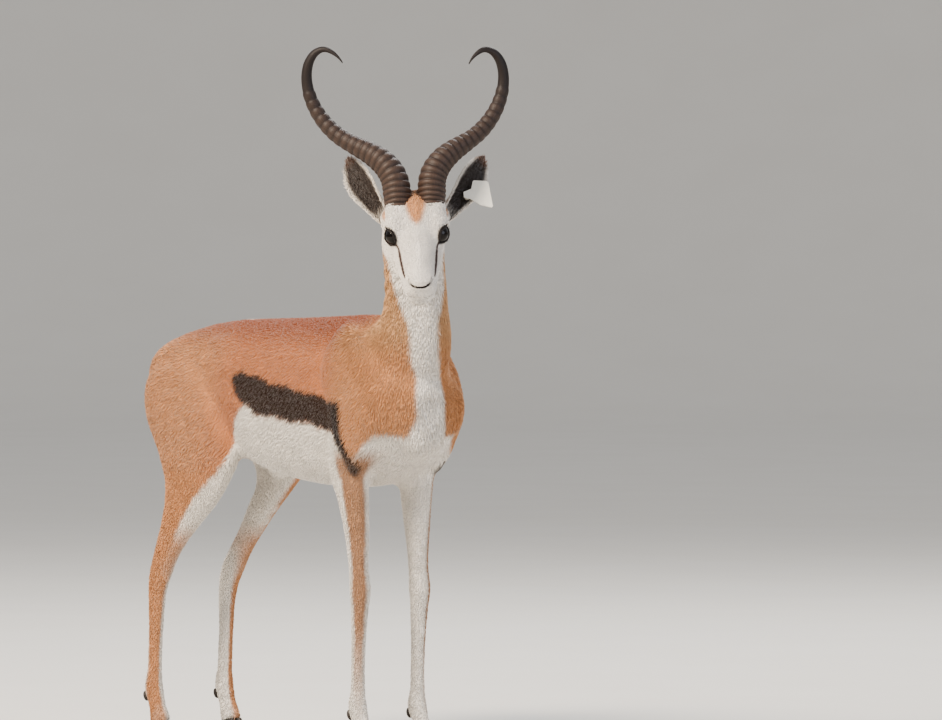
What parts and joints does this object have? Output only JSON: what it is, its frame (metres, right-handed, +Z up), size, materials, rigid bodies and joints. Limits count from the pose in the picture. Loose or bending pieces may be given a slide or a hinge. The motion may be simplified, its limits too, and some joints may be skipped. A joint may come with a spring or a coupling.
{
  "type": "springbok",
  "caption": "Life-size springbok ram standing still with its head turned to one side: ringed lyre-shaped horns, slim legs, tufted tail and a blank ear tag.",
  "frame": {"origin": "middle of the bounding box in plan, at floor height, under the chest and belly", "axes": "-Y the way the chest faces, +Y to the tail, -X the animal's right side, +Z up"},
  "size_m": [0.3141, 1.0288, 1.2331],
  "materials": {
    "tan_fur": "short cinnamon coat hair",
    "white_fur": "short white coat hair",
    "black_hair": "long coarse black hair",
    "horn": "ringed horn, satin",
    "hoof": "smooth dark hoof horn",
    "eye": "wet dark brown eye",
    "ear_tag": "white moulded plastic",
    "tag_stud": "dark moulded plastic"
  },
  "bodies": {
    "root": {"head": "white_fur", "neck": "tan_fur", "torso": "tan_fur", "eye_left": "eye", "eye_right": "eye", "horn_left": "horn", "horn_right": "horn", "ear_left": "white_fur", "ear_right": "white_fur", "ear_tag": "ear_tag", "ear_tag_stud": "tag_stud", "tail": "white_fur", "tail_tuft": "black_hair", "foreleg_left": "tan_fur", "hoof_foreleg_left_left": "hoof", "dewclaw_foreleg_left_left": "hoof", "hoof_foreleg_left_right": "hoof", "dewclaw_foreleg_left_right": "hoof", "foreleg_right": "tan_fur", "hoof_foreleg_right_left": "hoof", "dewclaw_foreleg_right_left": "hoof", "hoof_foreleg_right_right": "hoof", "dewclaw_foreleg_right_right": "hoof", "hindleg_left": "tan_fur", "hoof_hindleg_left_left": "hoof", "dewclaw_hindleg_left_left": "hoof", "hoof_hindleg_left_right": "hoof", "dewclaw_hindleg_left_right": "hoof", "hindleg_right": "tan_fur", "hoof_hindleg_right_left": "hoof", "dewclaw_hindleg_right_left": "hoof", "hoof_hindleg_right_right": "hoof", "dewclaw_hindleg_right_right": "hoof"}
  },
  "joints": []
}
